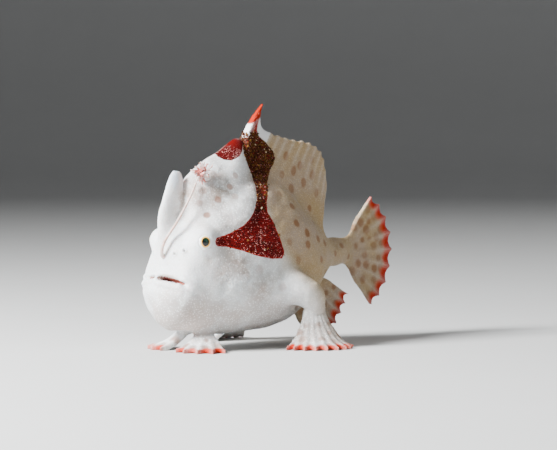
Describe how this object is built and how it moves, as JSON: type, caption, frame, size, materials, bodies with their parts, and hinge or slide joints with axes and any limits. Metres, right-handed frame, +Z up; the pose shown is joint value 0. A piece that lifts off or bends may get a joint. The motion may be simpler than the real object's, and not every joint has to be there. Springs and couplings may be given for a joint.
{
  "type": "frogfish",
  "caption": "Life-size young warty frogfish standing on its paired fins, with a raised head blade, a humped nape, a folded lure, ribbed fins and a gently curved tail.",
  "frame": {"origin": "on the floor under the middle of the model's bounding box, where the paired fins stand", "axes": "-Y towards the snout, +X towards the fish's left side, +Z up"},
  "size_m": [0.0258, 0.0431, 0.0321],
  "materials": {
    "skin": "fine-grained matt skin, painted",
    "eye": "clear gloss over a dark pupil",
    "lure": "soft translucent flesh, painted"
  },
  "bodies": {
    "root": {"head": "skin", "lower_jaw": "skin", "trunk": "skin", "tail": "skin", "second_dorsal_spine": "skin", "third_dorsal_spine": "skin", "dorsal_fin": "skin", "anal_fin": "skin", "caudal_fin": "skin", "pectoral_arm_left": "skin", "pectoral_arm_right": "skin", "pectoral_fin_left": "skin", "pectoral_fin_right": "skin", "pelvic_fin_left": "skin", "pelvic_fin_right": "skin", "eye_left": "eye", "eye_right": "eye", "illicium": "lure", "esca": "lure"}
  },
  "joints": []
}
